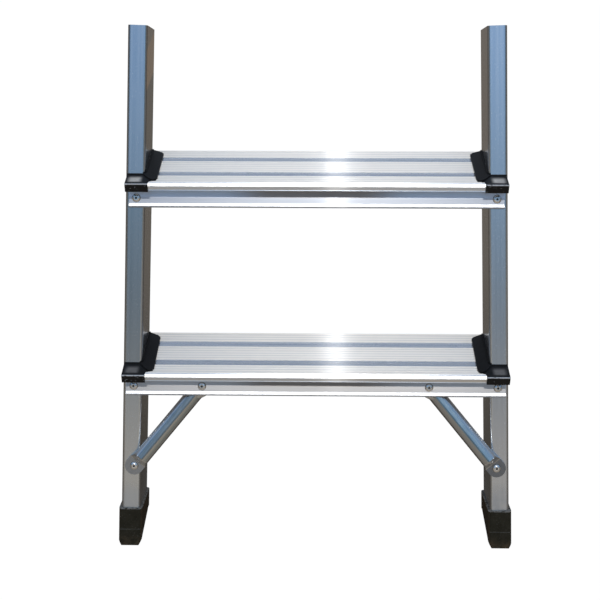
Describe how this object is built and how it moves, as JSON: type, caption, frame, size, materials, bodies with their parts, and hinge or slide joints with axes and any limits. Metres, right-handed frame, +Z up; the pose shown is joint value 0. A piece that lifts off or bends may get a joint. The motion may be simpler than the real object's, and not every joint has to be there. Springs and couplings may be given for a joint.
{
  "type": "boat boarding ladder",
  "caption": "Boarding ladder section with broad ribbed treads riveted between splayed box rails, black corner caps, diagonal tube braces and wedge-soled rubber boots.",
  "frame": {"origin": "centre of the footprint at the level of the boots' soles", "axes": "+Z up with the treads level, +X to the climber's right, +Y away from the climber, the way the rails lean"},
  "size_m": [0.4854, 0.322, 0.5687],
  "materials": {
    "rail_aluminium": "satin anodised",
    "tread_aluminium": "bright extruded, fine lengthwise lines",
    "brace_aluminium": "polished",
    "rivet_aluminium": "bright",
    "rivet_stem_steel": "dull",
    "cap_plastic": "semi-gloss moulded",
    "boot_rubber": "matt, lightly scuffed"
  },
  "bodies": {
    "root": {"left_rail": "rail_aluminium", "right_rail": "rail_aluminium", "upper_tread": "tread_aluminium", "lower_tread": "tread_aluminium", "upper_left_cap": "cap_plastic", "upper_right_cap": "cap_plastic", "lower_left_cap": "cap_plastic", "lower_right_cap": "cap_plastic", "upper_front_rivets": "rivet_aluminium", "lower_front_rivets": "rivet_aluminium", "upper_rear_rivets": "rivet_aluminium", "lower_rear_rivets": "rivet_aluminium", "brace_top_rivets": "rivet_aluminium", "brace_foot_rivets": "rivet_aluminium", "tread_rivet_pins": "rivet_stem_steel", "brace_rivet_pins": "rivet_stem_steel", "left_brace": "brace_aluminium", "right_brace": "brace_aluminium", "left_foot": "boot_rubber", "right_foot": "boot_rubber"}
  },
  "joints": []
}
